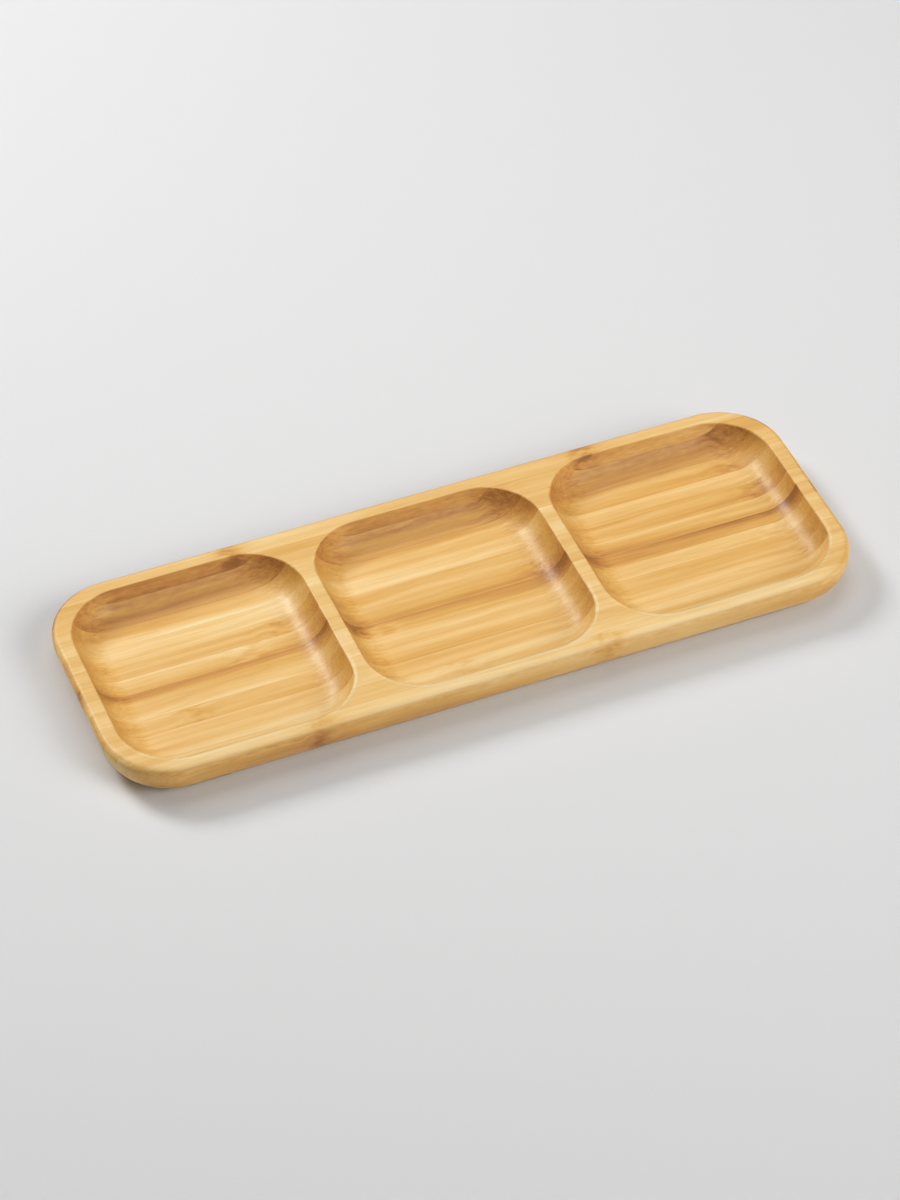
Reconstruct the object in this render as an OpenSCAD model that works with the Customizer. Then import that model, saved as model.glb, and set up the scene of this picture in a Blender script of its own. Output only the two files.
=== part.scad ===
// Divided serving plate: a row of square pockets with coved walls, routed from a board of bamboo strips.
// The strips stand on edge, run the whole length and are glued face to face.
// Frame: origin at the middle of the underside, +X along the plate, +Y to its back edge, +Z up.

/* [Plate] */
// Length of the plate
plate_l = 355; // [300:1:420]
// Width of the plate
plate_w = 126; // [100:1:160]
// Thickness of the plate
plate_h = 18; // [17:0.5:24]
// Radius of the four outer corners, seen from above
corner_r = 31; // [24:0.5:45]
// Radius of the round along the top outer edge
top_round = 2.5; // [1:0.1:3.5]
// Radius of the bullnose along the bottom outer edge
bottom_round = 14; // [8:0.5:15]

/* [Pockets] */
// Number of pockets in the row
pocket_count = 3; // [2:1:4]
// Depth of the pockets below the rim
pocket_depth = 12; // [8:0.5:14]
// Width of the rim along the two long sides
side_rim = 7; // [5:0.1:12]
// Width of the rim at the two short ends
end_rim = 7.2; // [5:0.1:14]
// Width of each divider at the rim
divider_w = 5.3; // [4:0.1:12]
// Radius of the pocket corners at the rim, seen from above
pocket_corner_r = 28.3; // [20:0.1:40]
// Radius of the cove that sweeps from the walls into the floors
cove_r = 15.6; // [14:0.1:18]
// Radius of the eased edge around each pocket mouth
mouth_round = 1; // [0.4:0.1:1.5]

/* [Strips] */
// Width of the strip along the back edge
back_edge_w = 10.5; // [8:0.1:14]
// Width of the strip along the front edge
front_edge_w = 9; // [8:0.1:14]
// Widths of the strips between them, from back to front, planed alike until they fill what is left
inner_strip_w = [10.5, 11, 10, 10.3, 10, 8.2, 8.5, 10, 9, 9.5, 9.5]; // [6:0.1:14]

/* [Hidden] */
$fn = 96;

// Cuts and slabs run this far past the faces that they cross
over = 1;

// Tones of the bamboo, from pale sapwood to brown
pale = "#EBC88C";
golden = "#DDB06B";
tan = "#CFA063";
brown = "#B4854C";

pocket_l = (plate_l - 2 * end_rim - (pocket_count - 1) * divider_w) / pocket_count;
pocket_w = plate_w - 2 * side_rim;
pocket_pitch = pocket_l + divider_w;
floor_z = plate_h - pocket_depth;

// The bullnose leaves at least a narrow upright face below the top round
least_side = 0.5;
bullnose_r = min(bottom_round, plate_h - top_round - least_side);

// The cove is an arc that touches the floor, and the eased mouth is an arc that touches cove and rim
cove_z = floor_z + cove_r;
mouth_z = plate_h - mouth_round;
mouth_run = sqrt(pow(cove_r + mouth_round, 2) - pow(cove_z - mouth_z, 2));
blend_share = cove_r / (cove_r + mouth_round);
blend_z = cove_z - (cove_z - mouth_z) * blend_share;

// Index of the front edge strip, where the back edge strip is 0
last_strip = len(inner_strip_w) + 1;

// Total width of the first few inner strips, counted from the back, before planing
function width_of(count) = count == 0 ? 0 : inner_strip_w[count - 1] + width_of(count - 1);
planed_share = (plate_w - back_edge_w - front_edge_w) / width_of(len(inner_strip_w));

// Place across the plate of glue line 1 to last_strip, counted from the back
function glue_y(line) = plate_w / 2 - back_edge_w - planed_share * width_of(line - 1);

// A quarter of a disc: up and outward from its centre, then turned
module quarter_disc(centre, radius, turn) {
    translate(centre)
        intersection() {
            circle(radius);
            rotate(turn) square(radius + over);
        }
}

// Half section of the blank, from its upright axis out to the side
module blank_section(reach) {
    shoulder = reach - bullnose_r;
    square([shoulder, plate_h]);
    quarter_disc([shoulder, bullnose_r], bullnose_r, -90);
    translate([shoulder, bullnose_r])
        square([bullnose_r, plate_h - top_round - bullnose_r]);
    translate([shoulder, plate_h - top_round])
        square([bullnose_r - top_round, top_round]);
    quarter_disc([reach - top_round, plate_h - top_round], top_round, 0);
}

// Half section of a pocket: flat floor, coved wall and eased mouth
module pocket_section(reach) {
    foot = reach - mouth_run;
    translate([0, floor_z])
        square([foot, pocket_depth + over]);
    intersection() {
        translate([foot, cove_z]) circle(cove_r);
        translate([foot, blend_z]) mirror([0, 1]) square([cove_r, pocket_depth]);
    }
    difference() {
        translate([foot, blend_z]) square([mouth_run, plate_h + over - blend_z]);
        translate([reach, mouth_z]) circle(mouth_round);
    }
}

// One quarter of a rectangle with round corners, with the half section carried along its sides.
// Of its two rows, the core and the long side, only those between near_y and far_y are drawn.
module quarter_form(half_l, half_w, low, high, near_y, far_y) {
    if (far_y > 0 && near_y < half_w) {
        translate([0, 0, low])
            cube([half_l, half_w, high - low]);
        translate([half_l, half_w, 0])
            rotate([90, 0, 0]) linear_extrude(half_w) children();
    }
    if (far_y > half_w) {
        translate([0, half_w, 0])
            rotate([90, 0, 90]) linear_extrude(half_l) children();
        translate([half_l, half_w, 0])
            rotate_extrude(angle = 90) children();
    }
}

// The whole rectangle, from its back and front quarters on the left and the right
module carry_round(length, width, radius, low, high, front_y, back_y) {
    half_l = length / 2 - radius;
    half_w = width / 2 - radius;
    for (flip = [0, 1])
        mirror([flip, 0, 0]) {
            quarter_form(half_l, half_w, low, high, front_y, back_y)
                children();
            mirror([0, 1, 0])
                quarter_form(half_l, half_w, low, high, -back_y, -front_y)
                    children();
        }
}

module blank(front_y, back_y) {
    carry_round(plate_l, plate_w, corner_r, 0, plate_h, front_y, back_y)
        blank_section(corner_r);
}

module pocket(front_y, back_y) {
    carry_round(pocket_l, pocket_w, pocket_corner_r, floor_z, plate_h + over, front_y, back_y)
        pocket_section(pocket_corner_r);
}

// One strip of the board: the slice of the blank between two glue lines, with the pockets cut out
module strip(index) {
    back_y = index == 0 ? plate_w / 2 + over : glue_y(index);
    front_y = index == last_strip ? -plate_w / 2 - over : glue_y(index + 1);
    difference() {
        intersection() {
            blank(front_y, back_y);
            translate([-plate_l / 2 - over, front_y, -over])
                cube([plate_l + 2 * over, back_y - front_y, plate_h + 2 * over]);
        }
        for (place = [0 : pocket_count - 1])
            translate([(place - (pocket_count - 1) / 2) * pocket_pitch, 0, 0])
                pocket(front_y, back_y);
    }
}

module back_edge_strip() { color(golden) strip(0); }

module back_wall_strip() { color(brown) strip(1); }

module floor_strip_1() { color(golden) strip(2); }

module floor_strip_2() { color(pale) strip(3); }

module floor_strip_3() { color(golden) strip(4); }

module floor_strip_4() { color(golden) strip(5); }

module floor_strip_5() { color(brown) strip(6); }

module floor_strip_6() { color(pale) strip(7); }

module floor_strip_7() { color(tan) strip(8); }

module floor_strip_8() { color(tan) strip(9); }

module floor_strip_9() { color(pale) strip(10); }

module front_wall_strip() { color(tan) strip(11); }

module front_edge_strip() { color(golden) strip(12); }

back_edge_strip();
back_wall_strip();
floor_strip_1();
floor_strip_2();
floor_strip_3();
floor_strip_4();
floor_strip_5();
floor_strip_6();
floor_strip_7();
floor_strip_8();
floor_strip_9();
front_wall_strip();
front_edge_strip();
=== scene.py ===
import math
from typing import NamedTuple

import bpy
from mathutils import Matrix, Vector


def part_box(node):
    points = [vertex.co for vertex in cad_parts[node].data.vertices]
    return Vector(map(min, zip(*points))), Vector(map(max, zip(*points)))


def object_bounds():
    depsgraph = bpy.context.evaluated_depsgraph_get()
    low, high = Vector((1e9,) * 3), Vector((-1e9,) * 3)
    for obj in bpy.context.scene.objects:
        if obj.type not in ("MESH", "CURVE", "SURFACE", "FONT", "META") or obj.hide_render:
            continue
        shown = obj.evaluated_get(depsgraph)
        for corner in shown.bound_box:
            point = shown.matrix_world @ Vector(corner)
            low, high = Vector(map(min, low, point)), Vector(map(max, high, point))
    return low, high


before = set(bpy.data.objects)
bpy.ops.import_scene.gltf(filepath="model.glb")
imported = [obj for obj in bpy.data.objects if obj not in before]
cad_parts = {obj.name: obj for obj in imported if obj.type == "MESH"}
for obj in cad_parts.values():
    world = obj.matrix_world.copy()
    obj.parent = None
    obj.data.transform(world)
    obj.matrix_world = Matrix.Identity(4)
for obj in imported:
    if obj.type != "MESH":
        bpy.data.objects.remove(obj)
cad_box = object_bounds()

# Sizes of the plate in mm: its outside from the frame, then its corners, its top edge and its pockets
MM_PER_METRE = 1000
HALF_LENGTH = cad_box[1][0] * MM_PER_METRE
HALF_WIDTH = cad_box[1][1] * MM_PER_METRE
PLATE_TOP = cad_box[1][2] * MM_PER_METRE
CORNER_RADIUS = 31.0
OUTER_ROUND = 2.5
POCKET_COUNT = 3
POCKET_PITCH = 115.3
POCKET_LENGTH = 110.0
POCKET_WIDTH = 112.0
POCKET_CORNER = 28.3

# A length in mm that lies past the plate in every direction
FAR_OFF = 1000.0

# Camera, matched to the plate's outline: angles in degrees, its distance in metres, the picture in pixels
VIEW_AZIMUTH = -21.73
VIEW_ELEVATION = 44.38
VIEW_ROLL = 0.63
VIEW_DISTANCE = 1.8656
PICTURE_HEIGHT = 1200
FOCAL_PIXELS = 4135.7
SENSOR_MM = 36.0
PLATE_RIGHT_OF_CENTRE = 4.5
PLATE_BELOW_CENTRE = 12.2

# The studio in metres. The camera sees the floor grow as pale as the backdrop between the pale distances.
FLOOR_SIZE = 12.0
FLOOR_COLOUR = (0.70, 0.70, 0.70, 1.0)
FLOOR_ROUGHNESS = 0.75
FLOOR_SPECULAR = 0.1
WHITE = (1.0, 1.0, 1.0, 1.0)
ROOM_LIGHT = 0.03
PALE_BACKDROP = 0.55
PALE_DISTANCES = (0.4, 3.0)

# Tones of the bamboo from its dark fibre to cream, as places on one scale from 0 to 1
BAMBOO_TONES = [
    (0.00, (0.206, 0.074, 0.020)),
    (0.25, (0.546, 0.250, 0.068)),
    (0.50, (0.712, 0.395, 0.107)),
    (0.75, (0.824, 0.541, 0.214)),
    (1.00, (0.905, 0.711, 0.398)),
]


class Knuckle(NamedTuple):
    """A knuckle of the culm on a strip."""

    centre: float  # its place along the plate in mm
    shade: float  # how dark its blotches are
    glow: float = 0.0  # how pale its patch is


class Strip(NamedTuple):
    """How one strip differs from the next, on the scale of tones."""

    tone: float  # its place on the scale
    rim: float  # its place on the scale where it shows on the rim
    lean: float = 0.0  # how much paler it is at its front face than at its back face
    fade: float = 0.0  # how much darker it is at its right end than at its middle
    ends: float = 0.0  # how much paler its cut ends are than its tone makes them
    knuckles: tuple = ()


# The strips from back to front. Their walls and sides below the rim are darker than their rims partly in
# their own tone and partly as painted shade, most on the back strips and the front edge strip.
STRIPS = {
    "back_edge_strip": Strip(
        0.39, 0.72, lean=0.05, fade=-0.19, knuckles=(Knuckle(-86, 1.1), Knuckle(88, 1.1, 0.1))),
    "back_wall_strip": Strip(
        0.40, 0.66, lean=-0.05, fade=-0.06, ends=0.06, knuckles=(Knuckle(40, 0.32), Knuckle(152, 0.36))),
    "floor_strip_1": Strip(
        0.60, 0.70, lean=0.14, fade=0.06, ends=-0.06, knuckles=(Knuckle(150, 0.5, 0.1),)),
    "floor_strip_2": Strip(
        0.72, 0.78, lean=-0.04, fade=0.03),
    "floor_strip_3": Strip(
        0.60, 0.74, lean=-0.04, fade=0.05, ends=-0.04,
        knuckles=(Knuckle(-79, 0.4), Knuckle(157, 0.5, 0.2))),
    "floor_strip_4": Strip(
        0.56, 0.70, lean=-0.14, fade=0.06, ends=-0.04,
        knuckles=(Knuckle(-98, 0.1, 0.7), Knuckle(44, 0.4, 0.2))),
    "floor_strip_5": Strip(
        0.41, 0.66, lean=0.36, fade=0.16, ends=-0.03,
        knuckles=(Knuckle(-47, 0.65), Knuckle(-39, 0.0, 0.8))),
    "floor_strip_6": Strip(
        0.73, 0.78, lean=0.06, fade=0.10, ends=-0.08, knuckles=(Knuckle(156, 0.1, 0.4),)),
    "floor_strip_7": Strip(
        0.61, 0.75, lean=-0.02, fade=0.04, ends=-0.03, knuckles=(Knuckle(-130, 0.45, 0.1),)),
    "floor_strip_8": Strip(
        0.70, 0.74, lean=-0.12, fade=0.04, ends=-0.14),
    "floor_strip_9": Strip(
        0.72, 0.77, fade=0.06, ends=0.03, knuckles=(Knuckle(-13, 0.4, 0.3),)),
    "front_wall_strip": Strip(
        0.75, 0.71, lean=-0.03, fade=0.04),
    "front_edge_strip": Strip(
        0.60, 0.78, lean=-0.18, fade=-0.05, knuckles=(Knuckle(-87, 0.75, 0.1), Knuckle(50, 0.7, 0.1))),
}


class Amount:
    """An output of a node, which varies over the surface and takes part in plain arithmetic."""

    def __init__(self, socket):
        self.socket = socket
        self.tree = socket.id_data

    def __add__(self, other):
        return calc("ADD", self, other)

    def __sub__(self, other):
        return calc("SUBTRACT", self, other)

    def __rsub__(self, other):
        return calc("SUBTRACT", other, self)

    def __mul__(self, other):
        return calc("MULTIPLY", self, other)

    def __truediv__(self, other):
        return calc("DIVIDE", self, other)

    def __pow__(self, other):
        return calc("POWER", self, other)

    def __abs__(self):
        return calc("ABSOLUTE", self)


def feed(socket, value):
    """Links an amount to an input, or sets the input to a plain value."""
    if isinstance(value, Amount):
        socket.id_data.links.new(value.socket, socket)
    else:
        socket.default_value = value


def add_node(tree, kind, values=None, **settings):
    """Adds a node, sets its properties and feeds its inputs."""
    node = tree.nodes.new(kind)
    for name, setting in settings.items():
        setattr(node, name, setting)
    for key, value in (values or {}).items():
        feed(node.inputs[key], value)
    return node


def calc(operation, *values):
    """One step of arithmetic with amounts and plain numbers."""
    tree = next(value.tree for value in values if isinstance(value, Amount))
    node = add_node(tree, "ShaderNodeMath", dict(enumerate(values)), operation=operation)
    return Amount(node.outputs[0])


def vector_calc(operation, vector, *others):
    """One step of arithmetic with vectors, or the length of one."""
    values = dict(enumerate((vector, *others)))
    node = add_node(vector.tree, "ShaderNodeVectorMath", values, operation=operation)
    return Amount(node.outputs["Value" if operation == "LENGTH" else "Vector"])


def split(vector):
    """The parts of a vector along X, Y and Z."""
    node = add_node(vector.tree, "ShaderNodeSeparateXYZ", {"Vector": vector})
    return [Amount(socket) for socket in node.outputs]


def join(tree, **parts):
    """A vector from its parts. A part that isn't given is 0."""
    return Amount(add_node(tree, "ShaderNodeCombineXYZ", parts).outputs["Vector"])


def ease(amount, span):
    """Rises smoothly from 0 to 1 over a span of values, or falls where the span runs downwards."""
    start, end = span
    limits = {"Value": amount, "From Min": min(span), "From Max": max(span)}
    limits["To Min"] = 0.0 if start < end else 1.0
    limits["To Max"] = 1.0 if start < end else 0.0
    node = add_node(amount.tree, "ShaderNodeMapRange", limits, interpolation_type="SMOOTHSTEP")
    return Amount(node.outputs["Result"])


# The value that noise lies about
NOISE_MIDDLE = 0.5


def stretch(place, size):
    """Divides a place in mm by the size of a pattern along X, Y and Z."""
    return vector_calc("MULTIPLY", place, tuple(1 / length for length in size))


def noise(place, size, detail=1.0):
    """Smooth noise whose pattern has a size in mm along X, Y and Z."""
    values = {"Vector": stretch(place, size), "Scale": 1.0, "Detail": detail}
    return Amount(add_node(place.tree, "ShaderNodeTexNoise", values).outputs["Fac"])


def swing(noisy, depth):
    """Turns noise into a swing about 0."""
    return (noisy - NOISE_MIDDLE) * depth


# Places of the colour sockets on a Mix node, which has a set of sockets for each kind of data
MIX_SHARE = 0
MIX_FIRST = 6
MIX_SECOND = 7
MIX_RESULT = 2


def mix_colours(share, first, second, blend):
    """Blends a share of the second colour into the first."""
    values = {MIX_SHARE: share, MIX_FIRST: first, MIX_SECOND: second}
    node = add_node(share.tree, "ShaderNodeMix", values, data_type="RGBA", blend_type=blend)
    return Amount(node.outputs[MIX_RESULT])


def start_group(name, vectors, values, results, colours=()):
    """A new node group. It takes in vectors and values, and puts out results, as values, and colours."""
    tree = bpy.data.node_groups.new(name, "ShaderNodeTree")
    sockets = [(label, "INPUT", "NodeSocketVector") for label in vectors]
    sockets += [(label, "INPUT", "NodeSocketFloat") for label in values]
    sockets += [(label, "OUTPUT", "NodeSocketFloat") for label in results]
    sockets += [(label, "OUTPUT", "NodeSocketColor") for label in colours]
    for label, side, kind in sockets:
        tree.interface.new_socket(label, in_out=side, socket_type=kind)
    given = {socket.name: Amount(socket) for socket in tree.nodes.new("NodeGroupInput").outputs}
    return tree, given, tree.nodes.new("NodeGroupOutput").inputs


def use_group(tree, group, values):
    """Places a node group, feeds it and gives its outputs by name."""
    node = add_node(tree, "ShaderNodeGroup", values, node_tree=group)
    return {socket.name: Amount(socket) for socket in node.outputs}


def start_material(name):
    """A new material and its shader."""
    material = bpy.data.materials.new(name)
    material.use_nodes = True
    return material, material.node_tree.nodes["Principled BSDF"]


def seen_by_camera(tree):
    """Is 1 where the camera itself looks, and 0 for light and reflections."""
    return Amount(add_node(tree, "ShaderNodeLightPath").outputs["Is Camera Ray"])


# Tone of a strip. Heights and sizes are in mm, and the rim's darker ends and the ends with painted light
# are shares of half the length.
RIM_HEIGHT = (PLATE_TOP - 4.0, PLATE_TOP - 2.0)
RIM_UPWARD = (0.75, 0.99)
RIM_END_PART = (0.75, 1.0)
RIM_END_TONE = -0.05
PAINTED_LIGHT_END = (0.962, 0.986)
PAINTED_LIGHT_END_TONE = 0.15
DRIFT_SIZE = (120, 14, 20)
DRIFT_DEPTH = 0.30


def make_tone_group():
    """Tone of a strip across and along it. The rim has a tone of its own; where the walls and sides below
    it are darker, that is partly the strip's own tone and partly painted shade. The rim is a little darker
    towards the plate's ends, and the plate's outer end faces are painted paler than the walls that the
    router leaves, as painted light on them."""
    tree, given, result = start_group(
        "Strip Tone",
        vectors=["Position", "Own Position"],
        values=["Upward", "End Cut", "Tone", "Rim", "Lean", "Fade", "Ends", "Middle", "Width"],
        results=["Tone", "On Rim"])
    x, y, z = split(given["Position"])
    end_cut = given["End Cut"]
    across = (given["Middle"] - y) / given["Width"]
    along = x / HALF_LENGTH
    tone = given["Tone"] + across * given["Lean"]
    tone -= along * (1.0 - end_cut) * given["Fade"]
    tone += end_cut * given["Ends"]

    on_rim = ease(z, RIM_HEIGHT) * ease(given["Upward"], RIM_UPWARD)
    tone += (given["Rim"] - tone) * on_rim
    from_middle = abs(along)
    # the rim is a little darker towards the plate's ends
    tone += ease(from_middle, RIM_END_PART) * on_rim * RIM_END_TONE
    # painted light: the plate's outer end faces are painted paler
    tone += ease(from_middle, PAINTED_LIGHT_END) * end_cut * PAINTED_LIGHT_END_TONE
    tone += swing(noise(given["Own Position"], DRIFT_SIZE), DRIFT_DEPTH)
    feed(result["Tone"], tone)
    feed(result["On Rim"], on_rim)
    return tree


# Knuckles. Sizes, distances from the centre, the ragged outline's reach and the swirl's width are in mm.
RAGGED_SIZE = (9, 4, 4)
RAGGED_REACH = 10.0
CORE_DISTANCES = (9.0, 0.5)
NEAR_DISTANCES = (20.0, 1.0)
NEAR_DEPTH = 0.11
BLOTCH_SIZE = (5.5, 3.2, 3.2)
BLOTCH_DETAIL = 1.5
BLOTCH_SPAN = (0.32, 0.66)
BLOTCH_DEPTH = 0.30
PATCH_SIZE = (9, 3.5, 3.5)
PATCH_SPAN = (0.36, 0.60)
PATCH_DEPTH = 0.22
SWIRL_RADIANS_PER_MM = 0.30
SWIRL_WIDTH = 0.9


def make_knuckle_group():
    """A knuckle of the culm: fibres that knot together, with soft brown blotches and a pale patch."""
    tree, given, result = start_group(
        "Bamboo Knuckle",
        vectors=["Position"],
        values=["Centre", "Shade", "Glow", "Bend"],
        results=["Tone Shift", "Bend"])
    position = given["Position"]
    x = split(position)[0]
    along = x - given["Centre"] + swing(noise(position, RAGGED_SIZE), RAGGED_REACH)
    distance = abs(along)
    core = ease(distance, CORE_DISTANCES)
    near = ease(distance, NEAR_DISTANCES)
    blotch = ease(noise(position, BLOTCH_SIZE, BLOTCH_DETAIL), BLOTCH_SPAN)
    shade = (blotch * core * BLOTCH_DEPTH + near * NEAR_DEPTH) * given["Shade"]
    patch = ease(noise(position, PATCH_SIZE), PATCH_SPAN)
    glow = patch * near * given["Glow"] * PATCH_DEPTH
    feed(result["Tone Shift"], glow - shade)
    swirl = calc("SINE", along * SWIRL_RADIANS_PER_MM) * near
    feed(result["Bend"], given["Bend"] + swirl * SWIRL_WIDTH)
    return tree


# Grain. Sizes of the patterns and the reach of the fibre's wander to the side are in mm.
WANDER_SIZE = (70, 24, 24)
WANDER_REACH = 5.0
BROAD_STREAK_SIZE = (200, 4.4, 6.0)
NARROW_STREAK_SIZE = (110, 1.2, 1.6)
BROAD_SHARE = 0.86
FLECK_SIZE = (16, 1.1, 1.1)
LINE_SIZE = (60, 0.28, 0.28)
MOTTLE_SIZE = (5.0, 1.5, 1.5)
BUNDLE_SIZE = (26, 1.4, 1.0)
BUNDLE_SPAN = (0.40, 0.14)


def make_grain_group():
    """Long bamboo fibre: soft streaks, flecks, fine lines, the mottle of a sawn side, and dark bundles of
    fibre that show as dots where they are cut."""
    tree, given, result = start_group(
        "Bamboo Grain",
        vectors=["Position"],
        values=["Bend"],
        results=["Streak", "Fleck", "Line", "Bundle", "Mottle"])
    position = given["Position"]
    aside = swing(noise(position, WANDER_SIZE), WANDER_REACH) + given["Bend"]
    fibre = vector_calc("ADD", position, join(tree, Y=aside, Z=aside))
    broad = noise(fibre, BROAD_STREAK_SIZE)
    narrow = noise(fibre, NARROW_STREAK_SIZE)
    cell = add_node(tree, "ShaderNodeTexVoronoi", {"Vector": stretch(fibre, BUNDLE_SIZE), "Scale": 1.0})
    feed(result["Streak"], broad * BROAD_SHARE + narrow * (1 - BROAD_SHARE))
    feed(result["Fleck"], noise(fibre, FLECK_SIZE))
    feed(result["Line"], noise(fibre, LINE_SIZE))
    feed(result["Mottle"], noise(fibre, MOTTLE_SIZE))
    feed(result["Bundle"], ease(Amount(cell.outputs["Distance"]), BUNDLE_SPAN))
    return tree


# Depths of the finish: how far each pattern of the grain swings the tone, and where streaks calm down
STREAK_DEPTH = 0.8
RIM_CALM = -0.4
END_CALM = -0.85
LINE_DEPTH = 0.09
MOTTLE_DEPTH = 0.34
FLECK_DEPTH = 0.16
END_FLECK_DEPTH = 0.18
SHALLOW_FLECK_DEPTH = 0.20

# How far a surface faces along the plate, which is worked out from the end cut, and where that is shallow
SLOPE_POWER = 0.67
SHALLOW_START = (0.02, 0.14)
SHALLOW_END = (0.60, 0.30)

# Tones of the finish: the middle that strips vary about, the darkest, and how far each mark, painted light
# and shade among them, moves the tone
MIDDLE_TONE = 0.6
END_CONTRAST = 0.4
DARKEST_TONE = 0.08
DARKEST_BLEND = 0.25
BUNDLE_TONE = -0.03
END_BUNDLE_TONE = -0.07
GLUE_TONE = -0.05
RIM_GLUE_TONE = -0.06
END_CUT_TONE = -0.17
RIGHT_FACING_SHADE_TONE = -0.07
RIGHT_AND_FRONT_TONE = 0.09
PAINTED_SHADE_OUTER_EDGE_TONE = -0.11
PAINTED_MOUTH_HIGHLIGHT_TONE = 0.16

# Tints of the finish: sides that face the front get a little grey as painted sheen, and cut ends soak up
# more oil
PAINTED_SHEEN_GREY = (0.45, 0.26, 0.20, 1.0)
PAINTED_SHEEN_GREY_SHARE = 0.08
SOAKED_TINT = (1.0, 0.965, 0.76, 1.0)
SOAKED_SHARE = 0.6

# Gloss and relief of the finish: the oil's roughness, what each mark adds to it, and how high marks stand
OIL_ROUGHNESS = 0.42
STREAK_ROUGHNESS = -0.10
BUNDLE_ROUGHNESS = 0.08
MOUTH_EDGE_ROUGHNESS = 0.06
OUTER_EDGE_ROUGHNESS = 0.22
BUNDLE_HEIGHT = -0.6
GLUE_HEIGHT = -0.5


def bamboo_colour(tone):
    """The colour at a place on the scale of tones."""
    ramp = add_node(tone.tree, "ShaderNodeValToRGB", {"Fac": tone})
    steps = ramp.color_ramp.elements
    while len(steps) < len(BAMBOO_TONES):
        steps.new(0.5)
    for step, (place, colour) in zip(steps, BAMBOO_TONES):
        step.position = place
        step.color = (*colour, 1.0)
    return Amount(ramp.outputs["Color"])


def make_finish_group():
    """Puts the colour of a strip together from its tone, its grain, the marks of its making and painted
    light and shade at its mouths, ends and sides, and gives the oiled surface its gloss and its relief."""
    tree, given, result = start_group(
        "Oiled Bamboo",
        vectors=[],
        values=["Tone", "Streak", "Fleck", "Line", "Bundle", "Mottle", "On Rim", "End Cut", "Right Facing Shade",
                "Sawn Side And Sheen", "Right And Front", "Glue", "Mouth Highlight", "Outer Edge"],
        results=["Roughness", "Height"],
        colours=["Color"])
    on_rim = given["On Rim"]
    end_cut = given["End Cut"]
    slope = end_cut ** SLOPE_POWER
    shallow = ease(slope, SHALLOW_START) * ease(slope, SHALLOW_END)
    calm = on_rim * RIM_CALM + slope * END_CALM + 1.0
    fleck_depth = end_cut * END_FLECK_DEPTH + shallow * SHALLOW_FLECK_DEPTH + FLECK_DEPTH

    tone = (given["Tone"] - MIDDLE_TONE) * (end_cut * END_CONTRAST + 1.0) + MIDDLE_TONE
    tone += swing(given["Streak"], STREAK_DEPTH) * calm
    tone += swing(given["Fleck"], fleck_depth)
    tone += swing(given["Line"], LINE_DEPTH)
    tone += swing(given["Mottle"], given["Sawn Side And Sheen"] * MOTTLE_DEPTH)
    tone += given["Bundle"] * (end_cut * END_BUNDLE_TONE + BUNDLE_TONE)
    tone += given["Glue"] * (on_rim * RIM_GLUE_TONE + GLUE_TONE)
    tone += end_cut * END_CUT_TONE
    # painted shade on walls that face right
    tone += given["Right Facing Shade"] * RIGHT_FACING_SHADE_TONE
    # paler where walls face both right and front, without the painted shade of right-facing walls
    tone += given["Right And Front"] * RIGHT_AND_FRONT_TONE
    # painted shade on the outer round at the plate's ends
    tone += given["Outer Edge"] * slope * PAINTED_SHADE_OUTER_EDGE_TONE
    tone = calc("SMOOTH_MAX", tone, DARKEST_TONE, DARKEST_BLEND)
    # painted highlight: a pale line along the front and right of the pocket mouths
    tone += given["Mouth Highlight"] * PAINTED_MOUTH_HIGHLIGHT_TONE
    colour = bamboo_colour(tone)
    # painted sheen: sides that face the front are tinted a little grey
    colour = mix_colours(given["Sawn Side And Sheen"] * PAINTED_SHEEN_GREY_SHARE, colour, PAINTED_SHEEN_GREY, "MIX")
    colour = mix_colours(end_cut * SOAKED_SHARE, colour, SOAKED_TINT, "MULTIPLY")
    feed(result["Color"], colour)

    roughness = given["Streak"] * STREAK_ROUGHNESS + OIL_ROUGHNESS
    roughness += given["Bundle"] * BUNDLE_ROUGHNESS
    roughness += given["Mouth Highlight"] * MOUTH_EDGE_ROUGHNESS
    roughness += given["Outer Edge"] * OUTER_EDGE_ROUGHNESS
    feed(result["Roughness"], roughness)
    feed(result["Height"], given["Line"] + given["Bundle"] * BUNDLE_HEIGHT + given["Glue"] * GLUE_HEIGHT)
    return tree


# Distances in mm from a glued face between which the line of glue fades in
GLUE_DISTANCES = (0.40, 0.05)


def make_glue_group():
    """A thin line along the faces where a strip is glued to its neighbours."""
    tree, given, result = start_group(
        "Glue Line",
        vectors=["Position"],
        values=["Back Face", "Front Face"],
        results=["Line"])
    y = split(given["Position"])[1]
    to_face = calc("MINIMUM", given["Back Face"] - y, y - given["Front Face"])
    feed(result["Line"], ease(to_face, GLUE_DISTANCES))
    return tree


# Painted highlight and wider ease at pocket mouths, by the share of the way from a pocket's middle to its
# front and its right
PAINTED_HIGHLIGHT_SPAN = (0.35, 0.85)
PAINTED_HIGHLIGHT_TO_RIGHT = 0.15

# Mouths of the pockets in mm: the end of their row, their painted highlight line, and the ease that widens
# their round
ROW_MARGIN = 0.01
MOUTH_LINE_REACH = POCKET_CORNER + 0.2
MOUTH_LINE_DISTANCES = (1.0, 0.5)
MOUTH_LINE_HEIGHT = (PLATE_TOP - 1.4, PLATE_TOP - 1.0)
MOUTH_EASE = (POCKET_CORNER + 1.3, POCKET_CORNER - 0.5)
MOUTH_DROP = -0.55
UNDERSIDE_HEIGHT = 3.0

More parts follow.
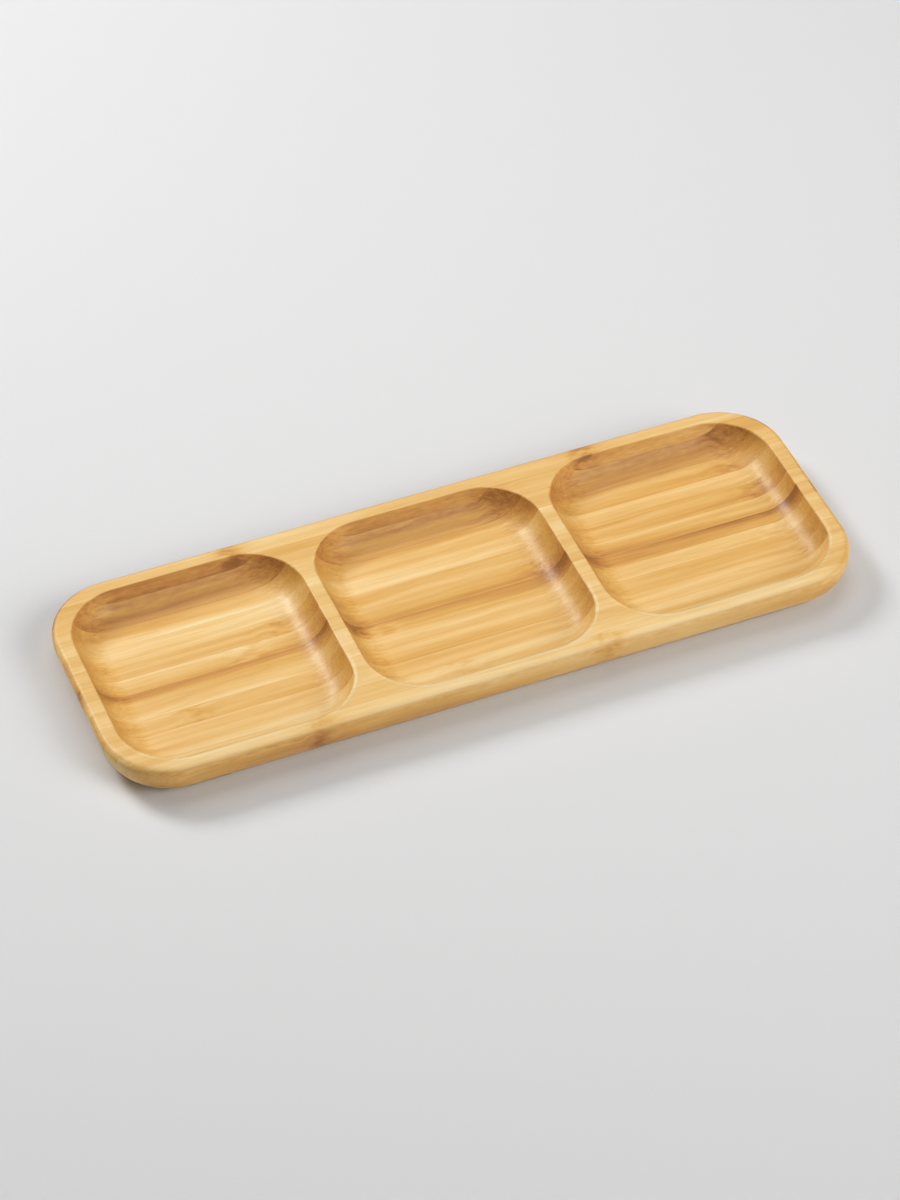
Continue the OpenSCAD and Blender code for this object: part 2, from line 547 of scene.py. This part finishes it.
# Outside of the plate in mm: the softer sanding along its front, and the round along its top edge
SANDED_EDGE = (CORNER_RADIUS - 4.7, CORNER_RADIUS)
SANDED_FRONT = (-25.0, -52.0)
SANDED_DROP = -1.15
ROUND_REACH = (CORNER_RADIUS - OUTER_ROUND - 1.0, CORNER_RADIUS - OUTER_ROUND)
ROUND_HEIGHT = (PLATE_TOP - 3.5, PLATE_TOP - 2.5)

# How far the outside faces upward, from -1 to 1: the most on its sides, and the span over which it rounds
SIDE_UPWARD = 0.15
ROUND_UPWARD = (0.99, 0.90)


def corner_reach(position, length, width, radius):
    """Distance from the inner rectangle that the corner centres of a rounded outline span. On the outline
    itself it is the corner radius."""
    straight = (length / 2 - radius, width / 2 - radius, FAR_OFF)
    past = vector_calc("SUBTRACT", vector_calc("ABSOLUTE", position), straight)
    return vector_calc("LENGTH", vector_calc("MAXIMUM", past, (0.0, 0.0, 0.0)))


def make_edge_group():
    """Edges of the plate: the painted highlight line and the ease along the pocket mouths, mostly at the
    front of each pocket and a little to its right, the softer sanding along the plate's front, and the
    round along its outside."""
    tree, given, result = start_group(
        "Plate Edges",
        vectors=["Position"],
        values=["Upward"],
        results=["Mouth", "Outside", "Edge Drop"])
    x, y, z = split(given["Position"])
    row_end = POCKET_PITCH * POCKET_COUNT / 2 - ROW_MARGIN
    in_row = calc("MAXIMUM", calc("MINIMUM", x, row_end), -row_end)
    in_pocket = calc("WRAP", in_row, POCKET_PITCH / 2, -POCKET_PITCH / 2)
    pocket_place = join(tree, X=in_pocket, Y=y)
    to_mouth = corner_reach(pocket_place, POCKET_LENGTH, POCKET_WIDTH, POCKET_CORNER)
    forward = y / (-POCKET_WIDTH / 2)
    rightward = in_pocket / (POCKET_LENGTH / 2)
    painted_highlight_side = ease(forward + rightward * PAINTED_HIGHLIGHT_TO_RIGHT, PAINTED_HIGHLIGHT_SPAN)
    mouth_highlight_line = ease(abs(to_mouth - MOUTH_LINE_REACH), MOUTH_LINE_DISTANCES)
    # painted highlight line along the pocket mouths, on their front and right
    feed(result["Mouth"], mouth_highlight_line * ease(z, MOUTH_LINE_HEIGHT) * painted_highlight_side)
    above_underside = calc("GREATER_THAN", z, UNDERSIDE_HEIGHT)
    mouth_drop = ease(to_mouth, MOUTH_EASE) * above_underside * painted_highlight_side * MOUTH_DROP

    to_side = corner_reach(given["Position"], HALF_LENGTH * 2, HALF_WIDTH * 2, CORNER_RADIUS)
    on_side = calc("LESS_THAN", given["Upward"], SIDE_UPWARD)
    to_outline = calc("MAXIMUM", to_side, on_side * CORNER_RADIUS)
    sanded_drop = ease(to_outline, SANDED_EDGE) * ease(y, SANDED_FRONT) * SANDED_DROP
    feed(result["Edge Drop"], mouth_drop + sanded_drop)
    turned = ease(given["Upward"], ROUND_UPWARD) * ease(z, ROUND_HEIGHT)
    feed(result["Outside"], ease(to_side, ROUND_REACH) * turned)
    return tree


# Each strip takes its grain from another place in the patterns, this far on in mm from strip to strip
GRAIN_STEP_ALONG = 173.0
GRAIN_STEP_UP = 41.0

# How far a surface faces along an axis, from -1 to 1, where its fibre is cut across, where it faces right
# and gets painted shade, and where it is sawn and gets painted sheen
END_CUT_POWER = 1.5
RIGHT_FACING_SHADE_START = (0.02, 0.25)
RIGHT_FACING_SHADE_FADE = (1.3, 0.4)
SAWN_AND_SHEEN_FORWARD = (-0.25, -0.80)
SAWN_AND_SHEEN_UPWARD = (-0.15, 0.25)

# Relief of the edges and of the grain, in metres for a height of 1, and the oil's sheen
EDGE_RELIEF = 0.001
GRAIN_RELIEF = 0.0002
GRAIN_RELIEF_STRENGTH = 0.22
OIL_SPECULAR = 0.30


def strip_material(name, strip, order, groups):
    """The bamboo of one strip, with its own tone, grain and knuckles. Walls that face right get painted
    shade, sides that face the front show the saw and a grey painted sheen, and where the two meet the
    surface is paler."""
    material, shader = start_material(f"bamboo_{name}")
    tree = material.node_tree
    low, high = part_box(name)
    back_face = high[1] * MM_PER_METRE
    front_face = low[1] * MM_PER_METRE
    place = add_node(tree, "ShaderNodeTexCoord").outputs
    scale = (MM_PER_METRE, MM_PER_METRE, MM_PER_METRE)
    in_mm = add_node(tree, "ShaderNodeMapping", {"Vector": Amount(place["Object"]), "Scale": scale})
    position = Amount(in_mm.outputs["Vector"])
    own_position = vector_calc("ADD", position, (GRAIN_STEP_ALONG * order, 0.0, GRAIN_STEP_UP * order))
    facing_x, facing_y, facing_z = split(Amount(place["Normal"]))
    end_cut = abs(facing_x) ** END_CUT_POWER

    wood = use_group(tree, groups["tone"], {
        "Position": position, "Own Position": own_position, "Upward": facing_z, "End Cut": end_cut,
        "Tone": strip.tone, "Rim": strip.rim, "Lean": strip.lean, "Fade": strip.fade, "Ends": strip.ends,
        "Middle": (back_face + front_face) / 2, "Width": back_face - front_face})
    tone = wood["Tone"]
    bend = 0.0
    for knuckle in strip.knuckles:
        knot = use_group(tree, groups["knuckle"], {
            "Position": position, "Centre": knuckle.centre, "Shade": knuckle.shade, "Glow": knuckle.glow,
            "Bend": bend})
        tone += knot["Tone Shift"]
        bend = knot["Bend"]
    grain = use_group(tree, groups["grain"], {"Position": own_position, "Bend": bend})
    is_first = order == 0
    is_last = order == len(STRIPS) - 1
    glue = use_group(tree, groups["glue"], {
        "Position": position, "Back Face": FAR_OFF if is_first else back_face,
        "Front Face": -FAR_OFF if is_last else front_face})
    edges = use_group(tree, groups["edges"], {"Position": position, "Upward": facing_z})

    # painted shade on walls that face right
    right_facing_shade = ease(facing_x, RIGHT_FACING_SHADE_START) * ease(facing_x, RIGHT_FACING_SHADE_FADE)
    # sides that face the front: the saw's mottle and a painted sheen
    sawn_and_sheen = ease(facing_y, SAWN_AND_SHEEN_FORWARD) * ease(facing_z, SAWN_AND_SHEEN_UPWARD)
    right_and_front = right_facing_shade * sawn_and_sheen
    finish = use_group(tree, groups["finish"], {
        **grain, "Tone": tone, "On Rim": wood["On Rim"], "End Cut": end_cut, "Right Facing Shade": right_facing_shade - right_and_front,
        "Sawn Side And Sheen": sawn_and_sheen, "Right And Front": right_and_front, "Glue": glue["Line"], "Mouth Highlight": edges["Mouth"],
        "Outer Edge": edges["Outside"]})
    eased = add_node(tree, "ShaderNodeBump", {
        "Strength": 1.0, "Distance": EDGE_RELIEF, "Height": edges["Edge Drop"]})
    relief = add_node(tree, "ShaderNodeBump", {
        "Strength": GRAIN_RELIEF_STRENGTH, "Distance": GRAIN_RELIEF, "Height": finish["Height"],
        "Normal": Amount(eased.outputs["Normal"])})
    feed(shader.inputs["Base Color"], finish["Color"])
    feed(shader.inputs["Roughness"], finish["Roughness"])
    feed(shader.inputs["Normal"], Amount(relief.outputs["Normal"]))
    feed(shader.inputs["Specular IOR Level"], OIL_SPECULAR)
    return material


def dress_strips():
    """Gives each strip of the board its bamboo."""
    groups = {
        "tone": make_tone_group(),
        "knuckle": make_knuckle_group(),
        "grain": make_grain_group(),
        "finish": make_finish_group(),
        "glue": make_glue_group(),
        "edges": make_edge_group(),
    }
    for order, (name, strip) in enumerate(STRIPS.items()):
        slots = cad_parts[name].data.materials
        slots.clear()
        slots.append(strip_material(name, strip, order, groups))


def add_floor():
    """A plain pale floor, which the camera also sees as pale far from the lamps."""
    bpy.ops.object.select_all(action="DESELECT")
    bpy.ops.mesh.primitive_plane_add(size=FLOOR_SIZE, location=(0, 0, cad_box[0][2]))
    floor = bpy.context.object
    floor.name = "studio_floor"
    material, shader = start_material("studio_floor")
    tree = material.node_tree
    place = Amount(add_node(tree, "ShaderNodeTexCoord").outputs["Object"])
    paleness = ease(vector_calc("LENGTH", place), PALE_DISTANCES) * PALE_BACKDROP
    feed(shader.inputs["Base Color"], FLOOR_COLOUR)
    feed(shader.inputs["Roughness"], FLOOR_ROUGHNESS)
    feed(shader.inputs["Specular IOR Level"], FLOOR_SPECULAR)
    feed(shader.inputs["Emission Color"], WHITE)
    feed(shader.inputs["Emission Strength"], paleness * seen_by_camera(tree))
    floor.data.materials.append(material)


def add_softbox(name, direction, distance, size, watts, aim=(0.0, 0.0, 0.0), spread=180.0, reflected=True):
    """A square area lamp that faces the middle of the plate, or a place beside it. Lengths are in metres. A
    narrower spread, in degrees, is a softbox with a grid."""
    place = Vector(direction).normalized() * distance
    bpy.ops.object.select_all(action="DESELECT")
    bpy.ops.object.light_add(type="AREA", location=place)
    lamp = bpy.context.object
    lamp.name = name
    lamp.data.size = size
    lamp.data.energy = watts
    lamp.data.spread = math.radians(spread)
    lamp.rotation_euler = (place - Vector(aim)).to_track_quat("Z", "Y").to_euler()
    lamp.visible_glossy = reflected


def add_light():
    """Soft studio light: softboxes overhead and behind on the left, fills in front on the right and on the
    left, and a dim room that the camera sees as pale."""
    add_softbox("overhead_softbox", direction=(0.05, 0.25, 1.0), distance=6.6, size=4.2, watts=118.0)
    add_softbox("back_softbox", direction=(-0.38, 0.68, 0.63), distance=2.0, size=0.64, watts=26.2)
    add_softbox("front_fill", direction=(0.9, -0.95, 0.8), distance=2.0, size=1.5, watts=6.4,
                aim=(0.3, 0.0, 0.0), spread=60.0, reflected=False)
    add_softbox("left_fill", direction=(-1.0, -0.15, 0.21), distance=2.0, size=1.0, watts=3.2,
                reflected=False)
    world = bpy.data.worlds.new("pale_room")
    bpy.context.scene.world = world
    world.use_nodes = True
    room = world.node_tree.nodes["Background"]
    feed(room.inputs["Color"], WHITE)
    feed(room.inputs["Strength"], seen_by_camera(world.node_tree) * PALE_BACKDROP + ROOM_LIGHT)


def add_camera():
    """A camera at the photograph's angle, which looks at the middle of the plate's underside."""
    azimuth = math.radians(VIEW_AZIMUTH)
    elevation = math.radians(VIEW_ELEVATION)
    roll = math.radians(VIEW_ROLL)
    outward = Vector((math.sin(azimuth) * math.cos(elevation),
                      -math.cos(azimuth) * math.cos(elevation),
                      math.sin(elevation)))
    level = (-outward).cross(Vector((0, 0, 1))).normalized()
    down = (-outward).cross(level)
    right = level * math.cos(roll) + down * math.sin(roll)
    up = outward.cross(right)
    turn = Matrix((right, up, outward)).transposed().to_4x4()
    bpy.ops.object.select_all(action="DESELECT")
    bpy.ops.object.camera_add()
    camera = bpy.context.object
    camera.name = "photo_camera"
    camera.matrix_world = Matrix.Translation(outward * VIEW_DISTANCE) @ turn
    camera.data.sensor_width = SENSOR_MM
    camera.data.lens = FOCAL_PIXELS / PICTURE_HEIGHT * SENSOR_MM
    camera.data.shift_x = -PLATE_RIGHT_OF_CENTRE / PICTURE_HEIGHT
    camera.data.shift_y = PLATE_BELOW_CENTRE / PICTURE_HEIGHT
    bpy.context.scene.camera = camera


dress_strips()
add_floor()
add_light()
add_camera()
bpy.context.scene.view_settings.view_transform = "Standard"
